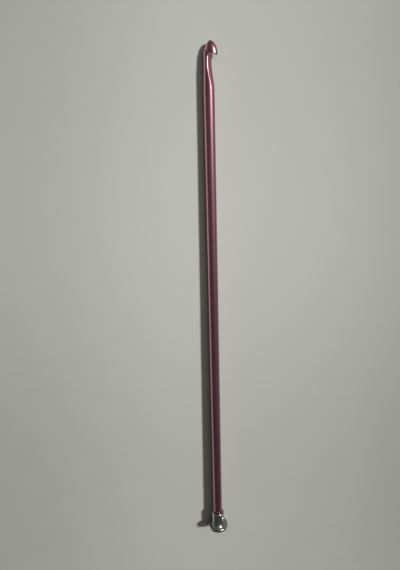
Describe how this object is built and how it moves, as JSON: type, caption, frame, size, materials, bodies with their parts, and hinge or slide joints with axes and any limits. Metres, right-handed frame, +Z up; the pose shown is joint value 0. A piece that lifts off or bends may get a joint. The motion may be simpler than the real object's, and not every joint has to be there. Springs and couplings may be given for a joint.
{
  "type": "tunisian crochet hook",
  "caption": "Long anodised aluminium crochet hook for tunisian crochet, with an off-centre head and flat-cut throat, and a plated round stopper on its tail.",
  "frame": {"origin": "on the table under the middle of the hook's box, with the hook lying as it rests", "axes": "+Y along the rod towards the head, +Z up from the table; the lip points to +X and is turned up 26.25 degrees from the table, about the rod's axis"},
  "size_m": [0.015, 0.35, 0.015],
  "materials": {
    "rose_anodised_aluminium": "satin rose-pink anodised",
    "plated_metal": "polished plating"
  },
  "bodies": {
    "root": {"hook_shaft": "rose_anodised_aluminium", "end_stopper": "plated_metal"}
  },
  "joints": []
}
